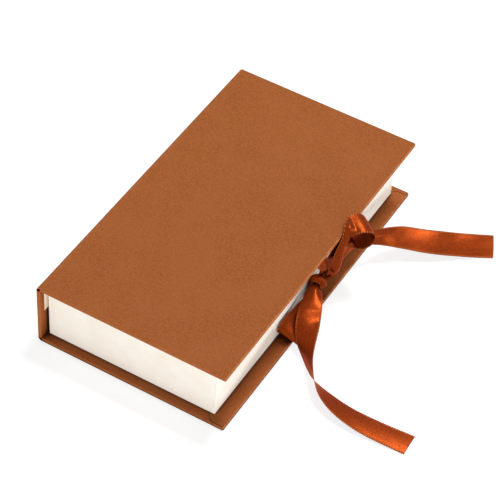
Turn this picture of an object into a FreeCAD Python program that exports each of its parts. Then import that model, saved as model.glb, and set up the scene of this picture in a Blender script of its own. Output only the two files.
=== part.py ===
"""Book-shaped gift box: a hinged two-cover case round a shallow tray, tied shut with two satin ribbons.

Frame: origin at the centre of the back cover's outer face, +Z up through the closed box,
+X from the spine to the fore-edge, where the ribbons tie, and +Y along the spine. Millimetres.
"""
import FreeCAD, Part
import math
import os

from FreeCAD import Placement, Rotation, Vector

# ---------------------------------------------------------------- driving dimensions

# Case: back cover, spine and front cover, three boards in one folded sheet of paper
case_length = 220.0        # along the spine
case_width = 123.0         # from the spine's outer face to the covers' fore-edges
case_height = 44.0         # from the back cover's outer face to the front cover's
case_board = 2.0           # greyboard of the covers and the spine
case_paper = 0.2           # textured wrapping paper
turn_in = 15.0             # paper folded over a board's edge onto its inner face
fold_radius = 2.7          # outer radius of the two folds along the spine
corner_radius = 0.9        # plan radius of a cover's two free corners
edge_radius = 0.55         # rounding of the paper where it turns over a board's edge

# Corner laps: the fore-edge turn-in is folded last and lies over the end turn-in
lap_inset = 0.7            # from the cover's end to the lap's cut edge
lap_run = 8.0              # along the end before the cut slants inwards
lap_band = 2.2             # how far one layer covers the other
lap_clearance = 0.3        # from the lap to the tray or liner beside it

# Linings glued to the inner faces
lining_paper = 0.15        # pale liner
liner_inset = 4.0          # liner's edge in from the covers' edges
liner_down_spine = 18.5    # liner carried over the top fold and down the spine
hinge_lining_width = 20.0  # brown strip from the spine's foot under the tray

# Tray
spine_gap = 1.2            # air between the spine and the tray
end_ledge = 6.2            # back cover showing beyond each end of the tray
fore_ledge = 9.3           # back cover showing beyond the tray's fore-edge wall
lid_clearance = 0.1        # air between the tray's rim and the front cover's liner
tray_board = 1.8
tray_paper = 0.2
tray_corner_radius = 0.6
tray_rim_radius = 0.4
tray_turn_under = 12.0     # tray paper folded under the floor
floor_liner_gap = 0.3      # floor liner's edge to the walls
tape_thickness = 0.1       # paper tape that holds each tray corner
tape_leg = 12.0
tape_end_gap = 1.5         # tape's ends from the walls' top and bottom edges

# Ribbons
ribbon_width = 15.0
ribbon_thickness = 0.3
tab_length = 20.0          # glued under the liner or the tray
tab_proud = 0.2            # tab's flat run past the liner's or the tray's edge
tab_clearance = 0.05       # round the tab in its pressed recess
tab_bend_room = 1.0        # recess carried past the liner's edge, where the ribbon bends down
knot_height = 17.0         # knot's middle above the back cover's outer face
spans_per_station = 2      # flat facets of a ribbon between two of its stations

# ---------------------------------------------------------------- derived places

cover_thickness = case_board + 2 * case_paper
half_length = case_length / 2
spine_face = -case_width / 2
fore_edge = case_width / 2
fold_side = spine_face + fold_radius          # where the flat panels meet the folds
cover_width = case_width - fold_radius
spine_width = case_height - 2 * fold_radius
cover_inner_face = case_height - cover_thickness
spine_inner_face = spine_face + cover_thickness

tray_bottom = cover_thickness
tray_top = cover_inner_face - lining_paper - lid_clearance
tray_spine_face = spine_inner_face + spine_gap
tray_fore_face = fore_edge - fore_ledge
tray_half_length = half_length - end_ledge
floor_top = tray_bottom + tray_paper + tray_board

PARTS = "parts"
os.makedirs(PARTS, exist_ok=True)


# ---------------------------------------------------------------- helpers

def block(x_low, x_high, y_low, y_high, z_low, z_high):
    """A sheet or board between two corners."""
    return Part.makeBox(x_high - x_low, y_high - y_low, z_high - z_low, Vector(x_low, y_low, z_low))


def plate(corners, z_low, thickness):
    """A flat sheet cut to the polygon through corners, given as (x, y)."""
    points = [Vector(x, y, z_low) for x, y in corners]
    return Part.Face(Part.makePolygon(points + points[:1])).extrude(Vector(0, 0, thickness))


def mirrored_ends(shape):
    """The shape and its copy at the other end of the box."""
    return [shape, shape.mirror(Vector(0, 0, 0), Vector(0, 1, 0))]


def save(node, shape):
    shape.exportStep(os.path.join(PARTS, node + ".step"))


# ---------------------------------------------------------------- a board wrapped in paper
# Built flat: fold side at x = 0, outer face at z = 0, inner face up. Covers have a free fore-edge
# at x = width, and the spine has a second fold there.

def rounded_panel(width, half, z_low, z_high, plan_radius, rim_radius, free_edge):
    """A flat panel whose free edges are rounded."""
    panel = block(0, width, -half, half, z_low, z_high)
    if free_edge:
        corners = [e for e in panel.Edges
                   if all(abs(v.X - width) < 1e-6 for v in e.Vertexes)
                   and abs(e.Vertexes[0].Z - e.Vertexes[1].Z) > 1e-6]
        panel = panel.makeFillet(plan_radius, corners)
    rims = []
    for edge in panel.Edges:
        level = all(abs(v.Z - edge.Vertexes[0].Z) < 1e-6 for v in edge.Vertexes)
        on_fold = all(abs(v.X) < 1e-6 for v in edge.Vertexes)
        on_far_fold = not free_edge and all(abs(v.X - width) < 1e-6 for v in edge.Vertexes)
        if level and not on_fold and not on_far_fold:
            rims.append(edge)
    return panel.makeFillet(rim_radius, rims)


def fold_sector(outer, inner, half):
    """Half of a fold, from the panel's edge to the fold's middle line."""
    def at(radius, degrees):
        angle = math.radians(degrees)
        return Vector(radius * math.cos(angle), -half, fold_radius + radius * math.sin(angle))
    edges = [Part.Arc(at(outer, 225), at(outer, 247.5), at(outer, 270)).toShape(),
             Part.LineSegment(at(outer, 270), at(inner, 270)).toShape(),
             Part.Arc(at(inner, 270), at(inner, 247.5), at(inner, 225)).toShape(),
             Part.LineSegment(at(inner, 225), at(outer, 225)).toShape()]
    return Part.Face(Part.Wire(edges)).extrude(Vector(0, 2 * half, 0))


def fold_edge(half):
    """The paper from a panel's fold side: the fold's half and, at each end, the turn-in pressed into it."""
    inner = fold_radius - case_paper
    pieces = [fold_sector(fold_radius, inner, half)]
    turned = fold_sector(inner, inner - case_paper, half)
    turned = turned.cut(block(-fold_radius, fold_radius, turn_in - half, half - turn_in, 0, fold_radius))
    pieces.append(turned)
    lip = block(-case_paper, 0, -half - case_paper / 2, turn_in - half, case_paper, cover_thickness)
    pieces += mirrored_ends(lip)
    return pieces


def corner_lap(width, reach):
    """The fore-edge turn-in's second layer where it crosses the end turn-in."""
    end = -half_length + lap_inset
    outer_x = width - corner_radius
    return plate([(outer_x, end),
                  (width - lap_run, end),
                  (width - lap_run - reach, end + reach),
                  (width - lap_run - reach + lap_band * math.sqrt(2), end + reach),
                  (width - lap_run + lap_band * (math.sqrt(2) - 1), end + lap_band),
                  (outer_x, end + lap_band)], cover_thickness, case_paper)


def wrapped_board(width, free_edge, lap_reach=0.0):
    """A board and the paper round it, flat."""
    half = half_length
    envelope = rounded_panel(width, half, 0, cover_thickness, corner_radius, edge_radius, free_edge)
    board_width = width - case_paper if free_edge else width
    board = rounded_panel(board_width, half - case_paper, case_paper, case_paper + case_board,
                          corner_radius - case_paper, edge_radius - case_paper, free_edge)
    window_end = width - turn_in if free_edge else width
    window = block(0, window_end, turn_in - half, half - turn_in, case_paper + case_board, cover_thickness)
    paper = envelope.cut([board, window])
    additions = fold_edge(half - case_paper)
    if free_edge:
        additions += mirrored_ends(corner_lap(width, lap_reach))
    else:
        far_side = [p.mirror(Vector(width / 2, 0, 0), Vector(1, 0, 0)) for p in additions]
        additions += far_side
    paper = paper.fuse(additions)
    return board, paper


def as_back_cover(shape):
    placed = shape.copy()
    placed.translate(Vector(fold_side, 0, 0))
    return placed


def as_front_cover(shape):
    return as_back_cover(shape).mirror(Vector(0, 0, case_height / 2), Vector(0, 0, 1))


def as_spine(shape):
    """Stands the flat strip up, its outer face towards -X."""
    upright = shape.copy()
    upright.Placement = Placement(Vector(-spine_face, 0, fold_radius), Rotation(Vector(0, 1, 0), -90))
    return upright.mirror(Vector(0, 0, 0), Vector(1, 0, 0))


# ---------------------------------------------------------------- the case

back_reach = end_ledge - lap_inset - lap_clearance
front_reach = liner_inset - lap_inset - lap_clearance

board, paper = wrapped_board(cover_width, True, back_reach)
back_cover_board = as_back_cover(board)
back_cover_wrap = as_back_cover(paper)

board, paper = wrapped_board(cover_width, True, front_reach)
front_cover_board = as_front_cover(board)
front_cover_wrap = as_front_cover(paper)

board, paper = wrapped_board(spine_width, False)
spine_board = as_spine(board)
spine_wrap = as_spine(paper)

window_half = half_length - turn_in
spine_lining = block(spine_inner_face - case_paper, spine_inner_face, -window_half, window_half,
                     fold_radius, case_height - fold_radius)
lower_hinge_lining = block(fold_side, fold_side + hinge_lining_width, -window_half, window_half,
                           cover_thickness - case_paper, cover_thickness)

liner_half = half_length - liner_inset
front_cover_liner = block(fold_side, fore_edge - liner_inset, -liner_half, liner_half,
                          cover_inner_face - lining_paper, cover_inner_face)
spine_liner = block(spine_inner_face, spine_inner_face + lining_paper, -liner_half, liner_half,
                    case_height - fold_radius - liner_down_spine, case_height - fold_radius)

# ---------------------------------------------------------------- the tray

wall_low = tray_bottom + tray_paper
wall_high = tray_top - tray_paper
wall_height = wall_high - wall_low
outer_x = (tray_spine_face + tray_paper, tray_fore_face - tray_paper)
outer_y = tray_half_length - tray_paper
inner_x = (outer_x[0] + tray_board, outer_x[1] - tray_board)
inner_y = outer_y - tray_board


def long_wall(side):
    """A wall along the spine (side 0) or the fore-edge (side 1), mitred at both ends."""
    return plate([(outer_x[side], -outer_y), (inner_x[side], -inner_y),
                  (inner_x[side], inner_y), (outer_x[side], outer_y)], wall_low, wall_height)


def end_wall(sign):
    """A wall at the near (-1) or far (+1) end, mitred at both ends."""
    return plate([(outer_x[0], sign * outer_y), (inner_x[0], sign * inner_y),
                  (inner_x[1], sign * inner_y), (outer_x[1], sign * outer_y)], wall_low, wall_height)


def corner_tape(x_side, y_sign):
    """An L of paper tape round one outer corner of the walls."""
    x_sign = 1 if x_side else -1
    x, y = outer_x[x_side], y_sign * outer_y
    x_out, y_out = x + x_sign * tape_thickness, y + y_sign * tape_thickness
    x_leg, y_leg = x - x_sign * tape_leg, y - y_sign * tape_leg
    return plate([(x, y), (x, y_leg), (x_out, y_leg), (x_out, y_out), (x_leg, y_out), (x_leg, y)],
                 wall_low + tape_end_gap, wall_height - 2 * tape_end_gap)


tray_spine_wall = long_wall(0)
tray_fore_edge_wall = long_wall(1)
tray_near_wall = end_wall(-1)
tray_far_wall = end_wall(1)
tray_floor_board = block(inner_x[0], inner_x[1], -inner_y, inner_y, wall_low, floor_top)
tray_corner_tapes = [corner_tape(side, sign) for side in (0, 1) for sign in (-1, 1)]


def tray_envelope():
    """The tray's outside, with its four upright edges and its rim rounded."""
    solid = block(tray_spine_face, tray_fore_face, -tray_half_length, tray_half_length, tray_bottom, tray_top)
    uprights = [e for e in solid.Edges if abs(e.Vertexes[0].Z - e.Vertexes[1].Z) > 1e-6]
    solid = solid.makeFillet(tray_corner_radius, uprights)
    rim = [e for e in solid.Edges if all(abs(v.Z - tray_top) < 1e-6 for v in e.Vertexes)]
    return solid.makeFillet(tray_rim_radius, rim)


cavity_x = (inner_x[0] + tray_paper, inner_x[1] - tray_paper)
cavity_y = inner_y - tray_paper
cavity = block(cavity_x[0], cavity_x[1], -cavity_y, cavity_y, floor_top, tray_top)
under = block(tray_spine_face + tray_turn_under, tray_fore_face - tray_turn_under,
              tray_turn_under - tray_half_length, tray_half_length - tray_turn_under,
              tray_bottom, wall_low)
tray_wrap = tray_envelope().cut([tray_spine_wall, tray_fore_edge_wall, tray_near_wall, tray_far_wall,
                                 tray_floor_board, cavity, under] + tray_corner_tapes)
tray_floor_liner = block(cavity_x[0] + floor_liner_gap, cavity_x[1] - floor_liner_gap,
                         floor_liner_gap - cavity_y, cavity_y - floor_liner_gap,
                         floor_top, floor_top + tray_paper)


# ---------------------------------------------------------------- ribbons
# A ribbon's route is a list of stations, each the two selvedge points of one cut across it. Where the
# ribbon is drawn together in the knot, the two points lie closer than its flat width. The routes are
# given for a ribbon 15 mm wide, and the bow grows with the ribbon's width.

route_unit = ribbon_width / 15
wall_foot = Vector(tray_fore_face, 0, 0)
fore_foot = Vector(fore_edge, 0, 0)
fore_top = Vector(fore_edge, 0, case_height)
knot = Vector(fore_edge, 0, knot_height)
cover_tab_end = Vector(fore_edge - liner_inset + tab_proud, 0, cover_inner_face + ribbon_thickness / 2)
base_tab_end = Vector(tray_fore_face + tab_proud, 0, cover_thickness + ribbon_thickness / 2)
half_ribbon = ribbon_width / 2


def stations_from(origin, pairs):
    return [(origin + Vector(*first) * route_unit, origin + Vector(*second) * route_unit)
            for first, second in pairs]


def station_parameters(stations):
    """Curve parameters that grow with the square root of the distance, so that uneven spacing stays smooth."""
    middles = [(first + second) / 2 for first, second in stations]
    parameters = [0.0]
    for middle, following in zip(middles, middles[1:]):
        parameters.append(parameters[-1] + math.sqrt((following - middle).Length))
    return parameters


def selvedge(stations, side):
    """A smooth curve through one edge of the ribbon."""
    curve = Part.BSplineCurve()
    curve.interpolate(Points=[station[side] for station in stations], Parameters=station_parameters(stations))
    return curve


def ribbon_strip(stations):
    """A thin strip through the stations, flat where it starts."""
    first, second = selvedge(stations, 0), selvedge(stations, 1)
    parameters = station_parameters(stations)
    cuts = [parameters[0]]
    for start, end in zip(parameters, parameters[1:]):
        cuts += [start + (end - start) * (i + 1) / spans_per_station for i in range(spans_per_station)]
    sections = []
    for t in cuts:
        a, b = first.value(t), second.value(t)
        along = first.tangent(t)[0] + second.tangent(t)[0]
        normal = along.cross(a - b) if sections else Vector(0, 0, 1)
        normal = normal.normalize() * (ribbon_thickness / 2)
        corners = [a + normal, b + normal, b - normal, a - normal]
        sections.append(Part.makePolygon(corners + corners[:1]))
    faces = [Part.Face(sections[0]), Part.Face(sections[-1])]
    for section, following in zip(sections, sections[1:]):
        for edge, next_edge in zip(section.Edges, following.Edges):
            faces.append(Part.makeRuledSurface(edge, next_edge))
    shell = Part.makeShell(faces)
    shell.sewShape()
    return Part.makeSolid(shell)


def ribbon_tab(tab_end):
    """The glued end, flat, up to where the free strip starts."""
    return block(tab_end.x - tab_length, tab_end.x, -half_ribbon, half_ribbon,
                 tab_end.z - ribbon_thickness / 2, tab_end.z + ribbon_thickness / 2)


cover_ribbon_stations = stations_from(cover_tab_end, [
    ((0, 7.5, 0), (0, -7.5, 0)),
    ((0.5, 7.5, -0.2), (0.5, -7.5, -0.2)),
    ((0.9, 7.3, -0.8), (0.9, -7.3, -0.8)),
    ((1.2, 6.8, -2.2), (1.2, -6.8, -2.2)),
])
# Down into the knot, and out of it as the back leg of the upper loop
cover_ribbon_stations += stations_from(knot, [
    ((-2.2, 4.0, 17.1), (-2.2, -4.0, 17.9)),
    ((-2.0, 2.9, 11.0), (-1.6, -1.7, 13.0)),
    ((-2.6, 5.6, 4.0), (-5.6, 4.6, 4.8)),
    ((-1.7, 11.6, 4.2), (-4.2, 7.0, 10.8)),
    ((-0.9, 16.0, 9.2), (-2.8, 9.2, 16.6)),
    ((-0.3, 20.2, 11.5), (-2.5, 15.0, 19.2)),
    ((0.4, 23.9, 12.8), (-3.0, 24.0, 19.8)),
])
# Upper loop, which stands over the front cover's fore-edge
cover_ribbon_stations += stations_from(fore_top, [
    ((6.8, 26.2, -14.0), (-3.2, 34.6, -14.2)),
    ((13.1, 27.7, -10.5), (1.8, 36.8, -9.3)),
    ((15.1, 30.5, -7.0), (3.3, 39.4, -5.5)),
    ((15.3, 30.5, -2.5), (3.5, 39.3, -1.0)),
    ((13.9, 28.6, 0.8), (2.1, 37.3, 2.5)),
    ((10.7, 25.3, 2.2), (-0.6, 34.8, 3.9)),
    ((7.3, 22.7, 1.0), (-2.7, 30.5, 3.6)),
    ((5.1, 21.9, -1.3), (-1.6, 24.0, 2.9)),
    ((3.3, 21.9, -4.0), (0.3, 17.8, 0.3)),
    ((2.4, 17.8, -8.8), (0.4, 13.8, -4.7)),
])
# Front leg, through the knot, and out over the lower loop
cover_ribbon_stations += stations_from(knot, [
    ((3.5, 14.5, 13.0), (0.4, 9.0, 17.5)),
    ((4.1, 10.5, 6.8), (-0.2, 6.5, 10.5)),
    ((1.1, 7.0, 1.6), (-2.0, 5.6, 4.0)),
    ((-1.8, 1.2, 0.8), (-5.0, 2.4, 1.4)),
    ((-1.9, -2.2, 0.2), (-6.1, -2.6, 1.6)),
    ((0.4, -3.8, 0.6), (-6.3, -4.8, 2.0)),
    ((3.2, -6.6, 1.4), (-6.3, -9.2, 0.8)),
    ((5.7, -11.0, 1.8), (-5.2, -15.7, -0.2)),
])
# Near tail, which turns on its edge and lies down on the table
cover_ribbon_stations += stations_from(fore_foot, [
    ((8.8, -17.0, 17.6), (-3.4, -23.1, 16.3)),
    ((11.0, -22.0, 15.8), (-1.5, -28.5, 14.6)),
    ((13.3, -27.6, 15.8), (0.2, -32.0, 12.0)),
    ((15.4, -33.8, 15.4), (2.2, -34.8, 9.0)),
    ((17.4, -39.6, 14.8), (5.5, -37.9, 6.0)),
    ((20.9, -48.2, 12.9), (12.8, -43.1, 2.0)),
    ((27.3, -57.8, 10.4), (20.5, -49.0, 0.5)),
    ((34.0, -64.5, 7.9), (28.5, -52.5, 0.4)),
    ((49.1, -70.5, 4.7), (47.3, -56.6, 0.4)),
    ((68.5, -71.8, 2.0), (68.0, -57.3, 0.3)),
    ((91.7, -70.4, 0.5), (91.1, -55.9, 0.3)),
])

base_ribbon_stations = stations_from(base_tab_end, [
    ((0, 7.5, 0), (0, -7.5, 0)),
    ((0.5, 7.5, 0.2), (0.5, -7.5, 0.2)),
    ((0.9, 7.3, 0.9), (0.9, -7.3, 0.9)),
    ((1.2, 6.5, 3.8), (1.2, -6.5, 3.8)),
])
# Up the tray's wall and once round the knot
base_ribbon_stations += stations_from(knot, [
    ((-7.6, 4.2, -5.0), (-7.6, -4.2, -5.0)),
    ((-7.2, 3.2, 0.5), (-7.2, -3.2, 0.5)),
    ((-4.6, 3.4, 5.2), (-4.9, -3.0, 4.4)),
    ((-1.4, 3.5, 4.2), (-2.1, -2.2, 3.6)),
    ((0.0, 3.4, 0.6), (-0.8, -2.2, 0.0)),
    ((-1.2, 3.0, -3.6), (-1.9, -2.8, -3.8)),
    ((-4.9, -0.6, -6.0), (-1.9, -5.4, -6.0)),
])
# Lower loop: out along its underside and back along its top
base_ribbon_stations += stations_from(wall_foot, [
    ((2.6, -11.0, 8.8), (8.8, -11.0, 7.0)),
    ((1.6, -22.0, 6.6), (11.3, -21.0, 3.2)),
    ((0.6, -32.0, 5.2), (13.2, -31.0, 2.9)),
    ((0.7, -37.2, 8.4), (13.8, -36.6, 4.8)),
    ((1.0, -36.4, 12.0), (13.6, -34.4, 6.9)),
    ((1.1, -30.6, 13.8), (13.0, -28.0, 7.8)),
    ((1.7, -24.0, 14.2), (11.8, -20.0, 9.3)),
    ((2.6, -14.5, 14.4), (9.6, -12.0, 12.2)),
])
# Through the knot and along behind the upper loop
base_ribbon_stations += stations_from(knot, [
    ((-6.1, -4.3, -1.8), (-1.9, -3.7, -2.8)),
    ((-6.8, 6.2, -0.7), (-2.2, 5.8, -2.3)),
    ((-5.3, 20.3, 1.8), (-1.2, 21.6, -0.6)),
    ((-5.1, 29.0, 8.2), (-1.0, 29.3, -0.4)),
    ((-3.7, 37.6, 9.4), (-0.3, 36.8, -0.6)),
])
# Far tail, which comes down to the table on one selvedge
base_ribbon_stations += stations_from(fore_foot, [
    ((-0.5, 46.5, 25.5), (2.3, 43.2, 15.2)),
    ((3.7, 54.5, 20.2), (6.1, 48.6, 13.4)),
    ((7.4, 61.9, 17.0), (10.5, 52.0, 12.4)),
    ((15.0, 71.3, 14.5), (21.5, 59.7, 9.0)),
    ((24.5, 77.0, 12.8), (31.0, 65.0, 6.8)),
    ((34.0, 82.5, 11.6), (40.1, 70.8, 4.8)),
    ((42.0, 88.5, 9.5), (48.3, 76.8, 3.0)),
    ((51.0, 94.5, 8.2), (57.0, 83.2, 1.3)),
    ((61.0, 102.3, 6.0), (67.4, 90.4, 0.4)),
])

cover_ribbon = ribbon_tab(cover_tab_end).fuse(ribbon_strip(cover_ribbon_stations))
base_ribbon = ribbon_tab(base_tab_end).fuse(ribbon_strip(base_ribbon_stations))

# Shallow recesses that the tabs are pressed into
recess_half = half_ribbon + tab_clearance
recess_depth = ribbon_thickness + tab_clearance
cover_recess = block(cover_tab_end.x - tab_length - tab_clearance, cover_tab_end.x + tab_bend_room,
                     -recess_half, recess_half, tray_top, cover_inner_face + recess_depth)
front_cover_wrap = front_cover_wrap.cut(cover_recess)
front_cover_board = front_cover_board.cut(cover_recess)

base_recess = block(base_tab_end.x - tab_length - tab_clearance, fore_edge,
                    -recess_half, recess_half, 0, tray_bottom + recess_depth)
tray_wrap = tray_wrap.cut(base_recess)
tray_fore_edge_wall = tray_fore_edge_wall.cut(base_recess)
tray_floor_board = tray_floor_board.cut(base_recess)

# ---------------------------------------------------------------- sub-parts

save("back_cover_board", back_cover_board)
save("back_cover_wrap", back_cover_wrap)
save("lower_hinge_lining", lower_hinge_lining)
save("spine_board", spine_board)
save("spine_wrap", spine_wrap)
save("spine_lining", spine_lining)
save("spine_liner", spine_liner)
save("front_cover_board", front_cover_board)
save("front_cover_wrap", front_cover_wrap)
save("front_cover_liner", front_cover_liner)
save("tray_floor_board", tray_floor_board)
save("tray_spine_wall", tray_spine_wall)
save("tray_fore_edge_wall", tray_fore_edge_wall)
save("tray_near_wall", tray_near_wall)
save("tray_far_wall", tray_far_wall)
save("tray_corner_tapes", Part.makeCompound(tray_corner_tapes))
save("tray_wrap", tray_wrap)
save("tray_floor_liner", tray_floor_liner)
save("cover_ribbon", cover_ribbon)
save("base_ribbon", base_ribbon)
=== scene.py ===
"""Looks of the book-shaped gift box: papers, folds, satin ribbons, light and camera.

Blender's lengths are metres in the CAD frame; the sizes named below are millimetres unless they say metres.
"""
import math

import bpy
import numpy as np
from mathutils import Matrix


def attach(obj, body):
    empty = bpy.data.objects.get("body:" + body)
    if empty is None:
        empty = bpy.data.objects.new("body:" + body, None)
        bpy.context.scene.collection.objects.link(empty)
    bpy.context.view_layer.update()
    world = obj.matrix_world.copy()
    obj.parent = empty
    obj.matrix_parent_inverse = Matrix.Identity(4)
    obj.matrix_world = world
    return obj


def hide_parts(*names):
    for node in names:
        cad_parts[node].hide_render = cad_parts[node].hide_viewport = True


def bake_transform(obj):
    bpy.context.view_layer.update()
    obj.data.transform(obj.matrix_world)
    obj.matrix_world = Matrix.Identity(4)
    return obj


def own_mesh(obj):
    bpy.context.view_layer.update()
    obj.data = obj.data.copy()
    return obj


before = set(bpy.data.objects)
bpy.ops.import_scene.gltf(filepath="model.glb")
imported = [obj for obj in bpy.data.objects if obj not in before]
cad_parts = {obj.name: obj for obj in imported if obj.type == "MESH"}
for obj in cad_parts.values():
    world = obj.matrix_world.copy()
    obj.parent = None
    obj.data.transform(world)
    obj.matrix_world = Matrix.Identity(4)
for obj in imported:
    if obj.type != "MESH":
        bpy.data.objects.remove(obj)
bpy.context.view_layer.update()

MM = 0.001

# ---------------------------------------------------------------- camera
# Fitted to the photo: the camera's place in metres, and its axes as unit vectors.

CAMERA_PLACE = (0.407183, -0.740499, 0.894944)
IMAGE_RIGHT = (0.85851632, 0.51081602, 0.04490782)
IMAGE_DOWN = (0.39612729, -0.60504345, -0.69065592)
FORWARD = (-0.32562693, 0.6107286, -0.72178784)
LENS = 149.83


def add_object(name, data):
    """A new object in the scene, holding the data."""
    made = bpy.data.objects.new(name, data)
    bpy.context.scene.collection.objects.link(made)
    return made


def add_camera():
    data = bpy.data.cameras.new("camera")
    data.sensor_width = 36.0
    data.lens = LENS
    data.clip_start = 0.05
    data.clip_end = 30.0
    camera = add_object("camera", data)
    rows = [(IMAGE_RIGHT[i], -IMAGE_DOWN[i], -FORWARD[i], CAMERA_PLACE[i]) for i in range(3)]
    camera.matrix_world = Matrix(rows + [(0, 0, 0, 1)])
    bpy.context.scene.camera = camera


add_camera()
bpy.context.scene.view_settings.view_transform = "Standard"

# ---------------------------------------------------------------- material helpers


def linear(red, green, blue):
    """A linear colour from an sRGB one given in 0 to 255."""
    values = []
    for value in (red, green, blue):
        value /= 255
        values.append(value / 12.92 if value <= 0.04045 else ((value + 0.055) / 1.055) ** 2.4)
    return (*values, 1.0)


class Shader:
    """A material built from nodes, with the Principled shader ready to take its inputs."""

    def __init__(self, name):
        self.material = bpy.data.materials.new(name)
        self.material.use_nodes = True
        self.tree = self.material.node_tree
        self.tree.nodes.clear()
        self.principled = self.node("ShaderNodeBsdfPrincipled")
        self.output = self.node("ShaderNodeOutputMaterial", Surface=self.principled.outputs[0])

    def node(self, kind, settings=None, **inputs):
        made = self.tree.nodes.new(kind)
        for key, value in (settings or {}).items():
            setattr(made, key, value)
        for key, value in inputs.items():
            self.put(made.inputs[key.replace("_", " ")], value)
        return made

    def put(self, socket, value):
        if isinstance(value, bpy.types.NodeSocket):
            self.tree.links.new(value, socket)
        else:
            socket.default_value = value

    def set(self, **inputs):
        for key, value in inputs.items():
            self.put(self.principled.inputs[key.replace("_", " ")], value)

    def place(self, stretch=(1, 1, 1)):
        """Object coordinates, which are the frame's, in millimetres and stretched along each axis."""
        coordinates = self.node("ShaderNodeTexCoord")
        scaled = self.node("ShaderNodeVectorMath", {"operation": "MULTIPLY"})
        self.put(scaled.inputs[0], coordinates.outputs["Object"])
        self.put(scaled.inputs[1], tuple(1000 * s for s in stretch))
        return scaled.outputs[0]

    def axes(self, vector):
        return self.node("ShaderNodeSeparateXYZ", Vector=vector).outputs

    def noise(self, vector, size, detail=3.0, roughness=0.55):
        """Noise from 0 to 1, with features about size across."""
        made = self.node("ShaderNodeTexNoise", Vector=vector, Scale=1 / size,
                         Detail=detail, Roughness=roughness)
        return made.outputs["Fac"]

    def math(self, operation, first, second=0.0):
        made = self.node("ShaderNodeMath", {"operation": operation})
        for socket, value in zip(made.inputs, (first, second)):
            self.put(socket, value)
        return made.outputs[0]

    def span(self, value, low, high, to_low=0.0, to_high=1.0):
        """value from low to high mapped smoothly to the new ends, and held outside them."""
        made = self.node("ShaderNodeMapRange", {"interpolation_type": "SMOOTHSTEP"},
                         Value=value, From_Min=low, From_Max=high, To_Min=to_low, To_Max=to_high)
        return made.outputs[0]

    def mix(self, share, first, second, blend="MIX"):
        made = self.node("ShaderNodeMix", {"data_type": "RGBA", "blend_type": blend})
        for index, value in ((0, share), (6, first), (7, second)):
            self.put(made.inputs[index], value)
        return made.outputs[2]

    def painted_shade(self, colour, reach, tint, low=0.25, high=0.75):
        """Painted shade: the colour multiplied towards the tint in corners and folds closer than reach
        metres, as ambient occlusion finds them.
        """
        occlusion = self.node("ShaderNodeAmbientOcclusion", {"samples": 8}, Distance=reach)
        share = self.span(occlusion.outputs["AO"], low, high)
        return self.mix(1.0, colour, self.mix(share, (*tint, 1), (1, 1, 1, 1)), "MULTIPLY")

    def bump(self, height, distance, strength=1.0, normal=None):
        """The normal of a surface raised by height times distance, in metres, over the given normal."""
        made = self.node("ShaderNodeBump", Height=height, Distance=distance, Strength=strength)
        if normal is not None:
            self.put(made.inputs["Normal"], normal)
        return made.outputs[0]


# ---------------------------------------------------------------- papers and board

HALF_WIDTH = 61.5      # of the case, from spine to fore-edge
HALF_LENGTH = 110.0    # of the case, along the spine
HEIGHT = 44.0
COVER = 2.4            # board with paper on both faces
LAP_INSET = 0.7        # as in the solids: the lap's cut edge from the cover's end
LAP_CORNER = 53.5      # x at which the cut slants inwards
LAP_REACH = 5.2        # how far the slant runs back from there
TURN_IN_END = 95.0     # |y| at which the end turn-ins stop under the liner
TURN_IN_SIDE = 46.5    # x at which the fore-edge turn-in stops under the liner
EDGE_WEAR_AND_HIGHLIGHT = 0.9        # reach of the wear and painted highlight from an edge
SPINE_WEAR_AND_HIGHLIGHT = 4.5       # reach of the softer wear and painted highlight from the spine's edges over the covers
SEAM = (0.12, 0.42)    # the seam's line fades between these distances
PICOT_PITCH = 1.5      # between the selvedge's loops
WEFT_PITCH = 0.45      # between the satin's crosswise threads
RIBBON_WIDTH = 15.0


def cover_faces(shader, z):
    """The heights from the nearer cover's outer face, and from its inner one."""
    from_middle = shader.math("ABSOLUTE", shader.math("SUBTRACT", z, HEIGHT / 2))
    from_face = shader.math("SUBTRACT", HEIGHT / 2, from_middle)
    return from_face, shader.math("ABSOLUTE", shader.math("SUBTRACT", from_face, COVER))


def edge_wear_and_highlight(shader, place):
    """Partly wear and partly painted highlight on the rounded edges, along the case's edges, broken up: less
    at the covers' ends, and a softer band at the spine.
    """
    x, y, z = shader.axes(place)
    from_side = shader.math("SUBTRACT", HALF_WIDTH, shader.math("ABSOLUTE", x))
    from_end = shader.math("SUBTRACT", HALF_LENGTH, shader.math("ABSOLUTE", y))
    from_face, from_inner = cover_faces(shader, z)
    near = [shader.span(value, 0.0, EDGE_WEAR_AND_HIGHLIGHT, 1.0, 0.0)
            for value in (from_side, from_end, shader.math("MINIMUM", from_face, from_inner))]
    pairs = [shader.math("MULTIPLY", near[i], near[j]) for i, j in ((0, 1), (0, 2), (1, 2))]
    end_edges = shader.math("MULTIPLY", pairs[2], 0.3)
    edge = shader.math("MAXIMUM", shader.math("MAXIMUM", pairs[0], pairs[1]), end_edges)
    spine_edge = shader.math("MULTIPLY", shader.span(x, -HALF_WIDTH, SPINE_WEAR_AND_HIGHLIGHT - HALF_WIDTH, 0.5, 0.0),
                             shader.span(from_face, 0.6, 1.6, 1.0, 0.0))
    edge = shader.math("MAXIMUM", edge, spine_edge)
    return shader.math("MULTIPLY", edge, shader.span(shader.noise(place, 2.5, 4), 0.3, 0.65))


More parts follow.
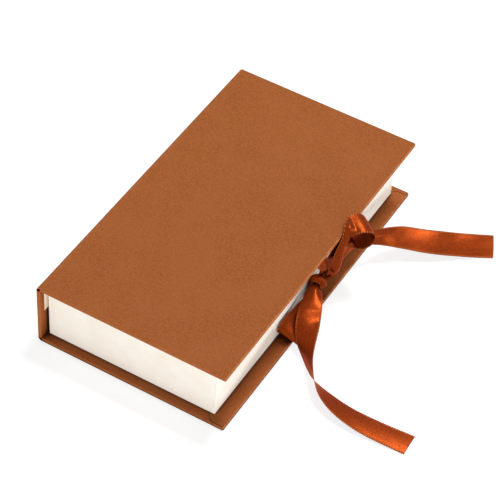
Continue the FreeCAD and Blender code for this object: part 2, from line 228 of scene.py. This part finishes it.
def lap_seam(shader, place):
    """1 on the cut edge of the turn-in that laps over its neighbour at the fore-edge corners."""
    x, y, z = shader.axes(place)
    _, from_inner = cover_faces(shader, z)
    cut = shader.math("MINIMUM", HALF_LENGTH - LAP_INSET,
                      shader.math("ADD", x, HALF_LENGTH - LAP_INSET - LAP_CORNER))
    from_cut = shader.math("ABSOLUTE", shader.math("SUBTRACT", shader.math("ABSOLUTE", y), cut))
    line = shader.span(from_cut, *SEAM, 1.0, 0.0)
    for other in (shader.span(x, LAP_CORNER - 0.5, LAP_CORNER + 0.5, 0.6, 1.0),
                  shader.span(x, LAP_CORNER - LAP_REACH - 0.2, LAP_CORNER - LAP_REACH + 0.2),
                  shader.span(x, HALF_WIDTH - 1.1, HALF_WIDTH - 0.5, 1.0, 0.0),
                  shader.span(from_inner, 0.5, 0.9, 1.0, 0.0)):
        line = shader.math("MULTIPLY", line, other)
    return line


def cover_paper():
    """Brown wrapping paper with a mottled, slightly leathery grain."""
    shader = Shader("cover_paper")
    place = shader.place()
    mottle = shader.noise(place, 1.25, 5, 0.62)
    blotch = shader.noise(place, 26, 2, 0.5)
    fibre = shader.noise(shader.place((1, 0.28, 1)), 0.6, 4, 0.6)
    wear_and_highlight = edge_wear_and_highlight(shader, place)
    colour = shader.mix(shader.span(mottle, 0.3, 0.7), linear(151, 80, 34), linear(175, 100, 49))
    colour = shader.mix(shader.span(blotch, 0.35, 0.65, 0, 0.35), colour, linear(172, 99, 52))
    colour = shader.mix(shader.span(fibre, 0.58, 0.8, 0, 0.3), colour, linear(146, 78, 40))
    # Lighter along the edges: partly wear, partly a painted highlight on the rounded edges.
    colour = shader.mix(shader.math("MULTIPLY", wear_and_highlight, 0.5), colour, linear(205, 142, 94))
    seam = lap_seam(shader, place)
    # Darker on the lap's cut edge: partly the cut edge's own colour, partly a painted shadow cast by the
    # lap's raised edge.
    colour = shader.mix(shader.math("MULTIPLY", seam, 0.85), colour, linear(62, 28, 10))
    # Painted shade: darker towards the tint in corners and recesses, such as the ledges under the covers'
    # overhang, and a darker painted shadow line along the foot of the tray's walls.
    colour = shader.painted_shade(colour, 0.024, (0.36, 0.28, 0.16))
    colour = shader.painted_shade(colour, 0.0045, (0.2, 0.16, 0.11), 0.45, 0.8)
    height = shader.math("ADD", shader.math("MULTIPLY", mottle, 0.6), shader.math("MULTIPLY", fibre, 0.4))
    height = shader.math("SUBTRACT", height, seam)
    shader.set(Base_Color=colour, Roughness=shader.span(mottle, 0.3, 0.7, 0.62, 0.74),
               Specular_IOR_Level=0.14, Normal=shader.bump(height, 0.00012, 0.55))
    return shader.material


def cream_paper(name, colour_low, colour_high, ridges=False):
    """Smooth pale paper: faint fibres, and on the liners the turn-ins' edges showing through."""
    shader = Shader(name)
    place = shader.place()
    cloud = shader.noise(place, 9, 3, 0.5)
    fibre = shader.noise(shader.place((0.3, 1, 1)), 0.5, 4, 0.6)
    colour = shader.mix(shader.span(cloud, 0.3, 0.7), colour_low, colour_high)
    speck = shader.span(shader.noise(place, 0.9, 2, 0.4), 0.70, 0.78, 0, 0.16)
    colour = shader.mix(speck, colour, linear(214, 196, 168))
    normal = shader.bump(fibre, 0.00003, 0.5)
    if ridges:
        x, y, _ = shader.axes(place)
        end = shader.span(shader.math("ABSOLUTE", y), TURN_IN_END - 0.4, TURN_IN_END + 0.4)
        step = shader.math("MAXIMUM", end, shader.span(x, TURN_IN_SIDE - 0.4, TURN_IN_SIDE + 0.4))
        normal = shader.bump(step, 0.00012, 1.0, normal)
    shader.set(Base_Color=colour, Roughness=0.72, Specular_IOR_Level=0.3, Normal=normal)
    return shader.material


def greyboard():
    """Recycled board: grey, flecked with lighter and darker fibres."""
    shader = Shader("greyboard")
    place = shader.place()
    layers = shader.noise(shader.place((1, 1, 6)), 1.8, 4, 0.6)
    fleck = shader.noise(place, 0.5, 3, 0.6)
    colour = shader.mix(shader.span(layers, 0.3, 0.7), linear(132, 125, 114), linear(158, 151, 140))
    colour = shader.mix(shader.span(fleck, 0.62, 0.74, 0, 0.7), colour, linear(92, 86, 80))
    shader.set(Base_Color=colour, Roughness=0.9, Specular_IOR_Level=0.2,
               Normal=shader.bump(fleck, 0.00008, 0.6))
    return shader.material


def gummed_tape():
    """Paper tape with a fine laid texture."""
    shader = Shader("gummed_tape")
    lines = shader.noise(shader.place((0.2, 0.2, 3)), 0.7, 2, 0.5)
    colour = shader.mix(shader.span(lines, 0.3, 0.7), linear(206, 198, 180), linear(224, 217, 202))
    shader.set(Base_Color=colour, Roughness=0.6, Specular_IOR_Level=0.3,
               Normal=shader.bump(lines, 0.00003, 0.5))
    return shader.material


def satin():
    """Rust satin: a lustrous face of fine lengthwise floats, and woven picot selvedges."""
    shader = Shader("rust_satin")
    uv = shader.node("ShaderNodeUVMap", {"uv_map": "ribbon"}).outputs[0]
    along, across, _ = shader.axes(uv)
    from_edge = shader.math("SUBTRACT", RIBBON_WIDTH / 2,
                            shader.math("ABSOLUTE", shader.math("SUBTRACT", across, RIBBON_WIDTH / 2)))
    selvedge = shader.span(from_edge, 0.7, 1.1, 1, 0)
    loops = shader.math("SINE", shader.math("MULTIPLY", along, 2 * math.pi / PICOT_PITCH))
    dots = shader.math("MULTIPLY", selvedge, shader.span(loops, 0.0, 0.6))
    floats = shader.node("ShaderNodeVectorMath", {"operation": "MULTIPLY"})
    shader.put(floats.inputs[0], uv)
    shader.put(floats.inputs[1], (0.06, 1, 1))
    thread = shader.noise(floats.outputs[0], 0.22, 2, 0.5)
    wide = shader.noise(floats.outputs[0], 1.6, 3, 0.5)
    weft = shader.math("SINE", shader.math("MULTIPLY", along, 2 * math.pi / WEFT_PITCH))
    colour = shader.mix(shader.span(wide, 0.3, 0.7), linear(104, 26, 2), linear(114, 32, 4))
    colour = shader.mix(shader.span(thread, 0.35, 0.75, 0, 0.45), colour, linear(150, 58, 15))
    grain = shader.noise(shader.place(), 0.8, 3, 0.7)
    colour = shader.mix(shader.span(grain, 0.5, 0.7, 0, 0.35), colour, linear(176, 78, 27))
    colour = shader.mix(shader.math("MULTIPLY", selvedge, 0.55), colour, linear(96, 26, 5))
    colour = shader.mix(shader.math("MULTIPLY", dots, 0.7), colour, linear(202, 118, 70))
    # Painted shade: darker in the bow's creases and folds, where the satin lies close to other parts.
    colour = shader.painted_shade(colour, 0.012, (0.55, 0.42, 0.24))
    height = shader.math("ADD", thread, shader.math("MULTIPLY", weft, 0.12))
    normal = shader.bump(height, 0.00004, 0.6)
    normal = shader.bump(grain, 0.00012, 0.7, normal)
    normal = shader.bump(dots, 0.0002, 0.6, normal)
    tangent = shader.node("ShaderNodeTangent", {"direction_type": "UV_MAP", "uv_map": "ribbon"}).outputs[0]
    shader.set(Base_Color=colour, Normal=normal, Tangent=tangent,
               Roughness=shader.math("ADD", 0.34, shader.math("MULTIPLY", selvedge, 0.25)),
               Metallic=0.8, IOR=1.9, Specular_IOR_Level=0.75, Specular_Tint=(1.0, 0.45, 0.12, 1.0),
               Anisotropic=0.45, Anisotropic_Rotation=0.25)
    return shader.material


paper = cover_paper()
tray_cream = cream_paper("tray_cream", linear(249, 241, 228), linear(252, 246, 235))
liner_cream = cream_paper("liner_cream", linear(236, 216, 190), linear(242, 224, 200), ridges=True)
board = greyboard()
tape = gummed_tape()
satin_ribbon = satin()

NODE_MATERIALS = {
    "back_cover_wrap": paper, "spine_wrap": paper, "front_cover_wrap": paper,
    "lower_hinge_lining": paper, "spine_lining": paper,
    "front_cover_liner": liner_cream, "spine_liner": liner_cream, "tray_floor_liner": liner_cream,
    "tray_wrap": tray_cream, "tray_corner_tapes": tape,
    "back_cover_board": board, "spine_board": board, "front_cover_board": board, "tray_floor_board": board,
    "tray_spine_wall": board, "tray_fore_edge_wall": board, "tray_near_wall": board, "tray_far_wall": board,
    "cover_ribbon": satin_ribbon, "base_ribbon": satin_ribbon}

for name, material in NODE_MATERIALS.items():
    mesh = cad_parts[name].data
    mesh.materials.clear()
    mesh.materials.append(material)

# ---------------------------------------------------------------- thin sheets


def add_sheet(name, points, rows, material, thickness):
    """A thin sheet through a grid of points in metres, given row by row."""
    count = len(points) // rows
    faces = [(r * count + i, r * count + i + 1, (r + 1) * count + i + 1, (r + 1) * count + i)
             for r in range(rows - 1) for i in range(count - 1)]
    mesh = bpy.data.meshes.new(name)
    mesh.from_pydata(points, [], faces)
    mesh.materials.append(material)
    mesh.shade_smooth()
    piece = add_object(name, mesh)
    solidify = piece.modifiers.new("thickness", "SOLIDIFY")
    solidify.thickness = thickness * MM
    solidify.offset = 0
    return piece


# ---------------------------------------------------------------- paper over the folds

FOLD_ROWS = 45
FOLD_RADIUS = 2.7
FOLD_X = FOLD_RADIUS - HALF_WIDTH
SPINE_INNER = COVER - HALF_WIDTH
LINER = 0.15           # thickness of the liner paper
LIFT = 0.03            # of the joints' sheets above the solids that they cover
FOLD_LIFT = 0.012      # of the outer folds' sheets at their edges
FOLD_BULGE = 0.03      # and what is added to it half-way round
FOLD_THICKNESS = 0.02
JOINT_THICKNESS = 0.05
WRAP_HALF = 109.75     # half the lengths of the sheets along the spine
LINING_HALF = 94.8
LINER_HALF = 105.8
JOINT_PRESS = [(-59.25, 2.05), (-59.86, 1.64), (-59.45, 2.3)]    # (x, height) of the paper in the joint


def fold_sheet(name, profile, half, material, thickness):
    """A sheet with the same (x, z) profile all along the spine, lying over the fold between two bodies."""
    points = [(x * MM, y * MM, z * MM) for y in np.linspace(-half, half, FOLD_ROWS) for x, z in profile]
    piece = add_sheet(name, points, FOLD_ROWS, material, thickness)
    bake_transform(piece)


def outer_fold(upper):
    """The wrapping paper round a fold, from the cover's panel to the spine's."""
    profile = []
    for share in np.linspace(0, 1, 17):
        angle = math.radians(270 - 90 * share)
        radius = FOLD_RADIUS + FOLD_LIFT + FOLD_BULGE * math.sin(math.pi * share)
        z = FOLD_RADIUS + radius * math.sin(angle)
        profile.append((FOLD_X + radius * math.cos(angle), HEIGHT - z if upper else z))
    return profile


def inner_fold(cover_z, spine_x, upper):
    """The lining across a joint: flat on the cover, pressed into the fold and up the spine."""
    points = [(FOLD_X + 3.0, cover_z), (FOLD_X + 0.15, cover_z), *JOINT_PRESS,
              (spine_x, FOLD_RADIUS + 0.15), (spine_x, FOLD_RADIUS + 3.0)]
    return [(x, HEIGHT - z) for x, z in points] if upper else points


fold_sheet("bottom_fold_paper", outer_fold(False), WRAP_HALF, paper,
           FOLD_THICKNESS)
fold_sheet("top_fold_paper", outer_fold(True), WRAP_HALF, paper,
           FOLD_THICKNESS)
fold_sheet("bottom_joint_lining", inner_fold(COVER + LIFT, SPINE_INNER + LIFT, False), LINING_HALF, paper,
           JOINT_THICKNESS)
fold_sheet("top_joint_liner", inner_fold(COVER + LINER + LIFT, SPINE_INNER + LINER + LIFT, True), LINER_HALF,
           liner_cream,
           JOINT_THICKNESS)

# ---------------------------------------------------------------- ribbons
# The same stations as in the CAD source: the two selvedge points of each cut across the ribbon.

RIBBON_CELLS = 30          # across the ribbon
RIBBON_SPACING = 0.5       # between its rows
RIBBON_THICKNESS = 0.25
CURVE_SAMPLES = 6000
PLEATED = (4.0, 5.5)       # width up to which the ribbon is pleated, and from which it isn't
ARCHED = (6.0, 14.0)       # width up to which its arch is fullest, and from which it lies flat
ARCH_SPARE = 0.3           # the fullest arch's extra length, as a share of the width
PLEAT_DRIFT = 24           # length along the ribbon over which the pleats shift once across it
PLEAT_SHIFT = 0.035        # how far they shift, as a share of the width
FORE_FOOT = np.array((HALF_WIDTH, 0.0, 0.0))
FORE_TOP = np.array((HALF_WIDTH, 0.0, HEIGHT))
KNOT = np.array((HALF_WIDTH, 0.0, 17.0))
WALL_FOOT = np.array((52.2, 0.0, 0.0))
COVER_TAB_END = np.array((57.7, 0.0, 41.75))
BASE_TAB_END = np.array((52.4, 0.0, 2.55))


def stations_from(origin, pairs):
    return [(origin + np.array(first), origin + np.array(second)) for first, second in pairs]


cover_stations = stations_from(COVER_TAB_END, [
    ((-20, 7.5, 0), (-20, -7.5, 0)),
    ((-10, 7.5, 0), (-10, -7.5, 0)),
    ((0, 7.5, 0), (0, -7.5, 0)),
    ((0.5, 7.5, -0.2), (0.5, -7.5, -0.2)),
    ((0.9, 7.3, -0.8), (0.9, -7.3, -0.8)),
    ((1.2, 6.8, -2.2), (1.2, -6.8, -2.2)),
])
cover_stations += stations_from(KNOT, [
    ((-2.2, 4.0, 17.1), (-2.2, -4.0, 17.9)),
    ((-2.0, 2.9, 11.0), (-1.6, -1.7, 13.0)),
    ((-2.6, 5.6, 4.0), (-5.6, 4.6, 4.8)),
    ((-1.7, 11.6, 4.2), (-4.2, 7.0, 10.8)),
    ((-0.9, 16.0, 9.2), (-2.8, 9.2, 16.6)),
    ((-0.3, 20.2, 11.5), (-2.5, 15.0, 19.2)),
    ((0.4, 23.9, 12.8), (-3.0, 24.0, 19.8)),
])
cover_stations += stations_from(FORE_TOP, [
    ((6.8, 26.2, -14.0), (-3.2, 34.6, -14.2)),
    ((13.1, 27.7, -10.5), (1.8, 36.8, -9.3)),
    ((15.1, 30.5, -7.0), (3.3, 39.4, -5.5)),
    ((15.3, 30.5, -2.5), (3.5, 39.3, -1.0)),
    ((13.9, 28.6, 0.8), (2.1, 37.3, 2.5)),
    ((10.7, 25.3, 2.2), (-0.6, 34.8, 3.9)),
    ((7.3, 22.7, 1.0), (-2.7, 30.5, 3.6)),
    ((5.1, 21.9, -1.3), (-1.6, 24.0, 2.9)),
    ((3.3, 21.9, -4.0), (0.3, 17.8, 0.3)),
    ((2.4, 17.8, -8.8), (0.4, 13.8, -4.7)),
])
cover_stations += stations_from(KNOT, [
    ((3.5, 14.5, 13.0), (0.4, 9.0, 17.5)),
    ((4.1, 10.5, 6.8), (-0.2, 6.5, 10.5)),
    ((1.1, 7.0, 1.6), (-2.0, 5.6, 4.0)),
    ((-1.8, 1.2, 0.8), (-5.0, 2.4, 1.4)),
    ((-1.9, -2.2, 0.2), (-6.1, -2.6, 1.6)),
    ((0.4, -3.8, 0.6), (-6.3, -4.8, 2.0)),
    ((3.2, -6.6, 1.4), (-6.3, -9.2, 0.8)),
    ((5.7, -11.0, 1.8), (-5.2, -15.7, -0.2)),
])
cover_stations += stations_from(FORE_FOOT, [
    ((8.8, -17.0, 17.6), (-3.4, -23.1, 16.3)),
    ((11.0, -22.0, 15.8), (-1.5, -28.5, 14.6)),
    ((13.3, -27.6, 15.8), (0.2, -32.0, 12.0)),
    ((15.4, -33.8, 15.4), (2.2, -34.8, 9.0)),
    ((17.4, -39.6, 14.8), (5.5, -37.9, 6.0)),
    ((20.9, -48.2, 12.9), (12.8, -43.1, 2.0)),
    ((27.3, -57.8, 10.4), (20.5, -49.0, 0.5)),
    ((34.0, -64.5, 7.9), (28.5, -52.5, 0.4)),
    ((49.1, -70.5, 4.7), (47.3, -56.6, 0.4)),
    ((68.5, -71.8, 2.0), (68.0, -57.3, 0.3)),
    ((91.7, -70.4, 0.5), (91.1, -55.9, 0.3)),
])

base_stations = stations_from(BASE_TAB_END, [
    ((-20, 7.5, 0), (-20, -7.5, 0)),
    ((-10, 7.5, 0), (-10, -7.5, 0)),
    ((0, 7.5, 0), (0, -7.5, 0)),
    ((0.5, 7.5, 0.2), (0.5, -7.5, 0.2)),
    ((0.9, 7.3, 0.9), (0.9, -7.3, 0.9)),
    ((1.2, 6.5, 3.8), (1.2, -6.5, 3.8)),
])
base_stations += stations_from(KNOT, [
    ((-7.6, 4.2, -5.0), (-7.6, -4.2, -5.0)),
    ((-7.2, 3.2, 0.5), (-7.2, -3.2, 0.5)),
    ((-4.6, 3.4, 5.2), (-4.9, -3.0, 4.4)),
    ((-1.4, 3.5, 4.2), (-2.1, -2.2, 3.6)),
    ((0.0, 3.4, 0.6), (-0.8, -2.2, 0.0)),
    ((-1.2, 3.0, -3.6), (-1.9, -2.8, -3.8)),
    ((-4.9, -0.6, -6.0), (-1.9, -5.4, -6.0)),
])
base_stations += stations_from(WALL_FOOT, [
    ((2.6, -11.0, 8.8), (8.8, -11.0, 7.0)),
    ((1.6, -22.0, 6.6), (11.3, -21.0, 3.2)),
    ((0.6, -32.0, 5.2), (13.2, -31.0, 2.9)),
    ((0.7, -37.2, 8.4), (13.8, -36.6, 4.8)),
    ((1.0, -36.4, 12.0), (13.6, -34.4, 6.9)),
    ((1.1, -30.6, 13.8), (13.0, -28.0, 7.8)),
    ((1.7, -24.0, 14.2), (11.8, -20.0, 9.3)),
    ((2.6, -14.5, 14.4), (9.6, -12.0, 12.2)),
])
base_stations += stations_from(KNOT, [
    ((-6.1, -4.3, -1.8), (-1.9, -3.7, -2.8)),
    ((-6.8, 6.2, -0.7), (-2.2, 5.8, -2.3)),
    ((-5.3, 20.3, 1.8), (-1.2, 21.6, -0.6)),
    ((-5.1, 29.0, 8.2), (-1.0, 29.3, -0.4)),
    ((-3.7, 37.6, 9.4), (-0.3, 36.8, -0.6)),
])
base_stations += stations_from(FORE_FOOT, [
    ((-0.5, 46.5, 25.5), (2.3, 43.2, 15.2)),
    ((3.7, 54.5, 20.2), (6.1, 48.6, 13.4)),
    ((7.4, 61.9, 17.0), (10.5, 52.0, 12.4)),
    ((15.0, 71.3, 14.5), (21.5, 59.7, 9.0)),
    ((24.5, 77.0, 12.8), (31.0, 65.0, 6.8)),
    ((34.0, 82.5, 11.6), (40.1, 70.8, 4.8)),
    ((42.0, 88.5, 9.5), (48.3, 76.8, 3.0)),
    ((51.0, 94.5, 8.2), (57.0, 83.2, 1.3)),
    ((61.0, 102.3, 6.0), (67.4, 90.4, 0.4)),
])


def natural_spline(knots, values):
    """The smooth cubic curve through values at knots, as a function of the parameter."""
    gaps = np.diff(knots)
    slopes = np.diff(values, axis=0) / gaps[:, None]
    count = len(knots)
    system = np.eye(count)
    right = np.zeros_like(values)
    for i in range(1, count - 1):
        system[i, i - 1:i + 2] = gaps[i - 1], 2 * (gaps[i - 1] + gaps[i]), gaps[i]
        right[i] = 6 * (slopes[i] - slopes[i - 1])
    bend = np.linalg.solve(system, right)

    def at(t):
        i = np.clip(np.searchsorted(knots, t, side="right") - 1, 0, count - 2)
        gap = gaps[i][:, None]
        ahead = (t - knots[i])[:, None]
        behind = gap - ahead
        curved = (bend[i] * behind ** 3 + bend[i + 1] * ahead ** 3) / (6 * gap)
        return (curved + (values[i] / gap - bend[i] * gap / 6) * behind
                + (values[i + 1] / gap - bend[i + 1] * gap / 6) * ahead)
    return at


def unit(vectors):
    return vectors / np.maximum(np.linalg.norm(vectors, axis=-1, keepdims=True), 1e-9)


def smooth_step(value, low, high):
    t = np.clip((value - low) / (high - low), 0, 1)
    return t * t * (3 - 2 * t)


def folds(u, width, upward, distance, phase):
    """Shape across the ribbon: soft pleats where the knot draws it together, and elsewhere arched upwards."""
    narrow = 1 - smooth_step(width, *PLEATED)
    drift = phase + distance / PLEAT_DRIFT
    shifted = u + PLEAT_SHIFT * np.sin(2 * math.pi * (u + drift))
    return narrow * np.sin(4 * math.pi * shifted) + (1 - narrow) * upward * np.sin(math.pi * shifted)


def fold_height(shape, width, real, u):
    """The height at which the shape makes the ribbon's way across as long as its real width."""
    low = np.zeros((len(width), 1))
    high = np.full((len(width), 1), 8.0)
    step = np.diff(u) * width[:, None]
    for _ in range(30):
        trial = (low + high) / 2
        length = np.sqrt(step ** 2 + (np.diff(shape, axis=1) * trial) ** 2).sum(1, keepdims=True)
        low = np.where(length < real[:, None], trial, low)
        high = np.where(length < real[:, None], high, trial)
    return (low + high) / 2


def ribbon(name, stations, body, node, phase):
    """A satin ribbon through the stations, gathered in pleats wherever they are closer than its width."""
    first = np.array([s[0] for s in stations], float)
    second = np.array([s[1] for s in stations], float)
    middle = (first + second) / 2
    knots = np.concatenate([[0], np.cumsum(np.sqrt(np.linalg.norm(np.diff(middle, axis=0), axis=1)))])
    curve_a, curve_b = natural_spline(knots, first), natural_spline(knots, second)
    fine = np.linspace(0, knots[-1], CURVE_SAMPLES)
    centre = (curve_a(fine) + curve_b(fine)) / 2
    run = np.concatenate([[0], np.cumsum(np.linalg.norm(np.diff(centre, axis=0), axis=1))])
    rows = int(run[-1] / RIBBON_SPACING) + 1
    distance = np.linspace(0, run[-1], rows)
    t = np.interp(distance, run, fine)
    a, b = curve_a(t), curve_b(t)
    tangent = unit(np.gradient((a + b) / 2, axis=0))
    across = b - a
    width = np.linalg.norm(across, axis=1)
    normal = unit(np.cross(tangent, across))
    u = np.linspace(0, 1, RIBBON_CELLS + 1)[None, :]
    upward = np.clip(3 * normal[:, 2:], -1, 1)
    shape = folds(u, width[:, None], upward, distance[:, None], phase)
    spare = ARCH_SPARE * (1 - smooth_step(width, *ARCHED))
    real = np.maximum(np.minimum(RIBBON_WIDTH, width * (1 + spare)), width * 1.002)
    height = shape * fold_height(shape, width, real, u)
    points = a[:, None, :] + across[:, None, :] * u[..., None] + normal[:, None, :] * height[..., None]
    piece = add_sheet(name, (points.reshape(-1, 3) * MM).tolist(), rows, satin_ribbon, RIBBON_THICKNESS)
    mesh = piece.data
    layer = mesh.uv_layers.new(name="ribbon")
    corner_vertices = np.zeros(len(mesh.loops), int)
    mesh.loops.foreach_get("vertex_index", corner_vertices)
    flat = np.stack([np.repeat(distance, RIBBON_CELLS + 1), np.tile(u[0] * RIBBON_WIDTH, rows)], axis=1)
    layer.data.foreach_set("uv", flat[corner_vertices].astype(np.float32).ravel())
    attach(piece, body)
    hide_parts(node)
    return piece


cover_satin = ribbon("cover_satin_ribbon", cover_stations, "front_cover", "cover_ribbon", 0.1)
base_satin = ribbon("base_satin_ribbon", base_stations, "base", "base_ribbon", 0.6)
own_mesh(cover_satin)

# ---------------------------------------------------------------- floor, backdrop and light

FLOOR_GLOW = 0.78      # makes the floor white where it is seen without shadow
SKY_LIGHT = 0.24       # the backdrop's strength as a light


def add_floor():
    """A pale floor that shows white to the camera and keeps the object's shadow."""
    size, z = 6.0, -0.00005
    mesh = bpy.data.meshes.new("floor")
    mesh.from_pydata([(-size, -size, z), (size, -size, z), (size, size, z), (-size, size, z)], [],
                     [(0, 1, 2, 3)])
    floor = add_object("floor", mesh)
    shader = Shader("floor")
    path = shader.node("ShaderNodeLightPath")
    seen = shader.math("MAXIMUM", path.outputs["Is Camera Ray"], path.outputs["Is Glossy Ray"])
    seen = shader.math("MAXIMUM", seen, path.outputs["Is Transmission Ray"])
    colour = shader.mix(seen, (0.8, 0.8, 0.8, 1), (0.35, 0.35, 0.35, 1))
    shader.set(Base_Color=colour, Roughness=0.9, Specular_IOR_Level=0.1,
               Emission_Color=(1, 1, 1, 1), Emission_Strength=shader.math("MULTIPLY", seen, FLOOR_GLOW))
    mesh.materials.append(shader.material)


def add_world():
    """White where the camera or a reflection sees it, and a dimmer light for everything else."""
    world = bpy.data.worlds.new("studio")
    bpy.context.scene.world = world
    world.use_nodes = True
    tree = world.node_tree
    tree.nodes.clear()
    output = tree.nodes.new("ShaderNodeOutputWorld")
    background = tree.nodes.new("ShaderNodeBackground")
    path = tree.nodes.new("ShaderNodeLightPath")
    seen = path.outputs["Is Camera Ray"]
    for other in ("Is Glossy Ray", "Is Transmission Ray"):
        largest = tree.nodes.new("ShaderNodeMath")
        largest.operation = "MAXIMUM"
        tree.links.new(seen, largest.inputs[0])
        tree.links.new(path.outputs[other], largest.inputs[1])
        seen = largest.outputs[0]
    strength = tree.nodes.new("ShaderNodeMapRange")
    strength.inputs["To Min"].default_value = SKY_LIGHT
    strength.inputs["To Max"].default_value = 1.0
    tree.links.new(seen, strength.inputs["Value"])
    tree.links.new(strength.outputs[0], background.inputs["Strength"])
    background.inputs["Color"].default_value = (1, 1, 1, 1)
    tree.links.new(background.outputs[0], output.inputs["Surface"])


LAMP_TARGET = (0.03, 0, 0.02)


def add_lamp(name, place, width, height, watts):
    """A rectangular lamp aimed at the box, its width level. Places and sizes are in metres."""
    data = bpy.data.lights.new(name, "AREA")
    data.shape = "RECTANGLE"
    data.size = width
    data.size_y = height
    data.energy = watts
    lamp = add_object(name, data)
    direction = unit(np.array(LAMP_TARGET, float) - np.array(place, float))
    side = unit(np.cross(direction, (0, 0, 1)))
    up = np.cross(side, direction)
    rows = [(side[i], up[i], -direction[i], place[i]) for i in range(3)]
    lamp.matrix_world = Matrix(rows + [(0, 0, 0, 1)])
    return lamp


add_floor()
add_world()
add_lamp("top_softbox", (0.12, 0.66, 1.88), 0.5, 0.4, 26.5)
add_lamp("side_softbox", (1.6, 0.6, 1.0), 0.7, 0.7, 7).visible_diffuse = False
add_lamp("low_fill", (1.2, -1.75, 0.2), 2.6, 0.36, 35).visible_glossy = False
add_lamp("side_fill", (1.7, 1.0, 0.16), 1.2, 0.3, 13).visible_glossy = False
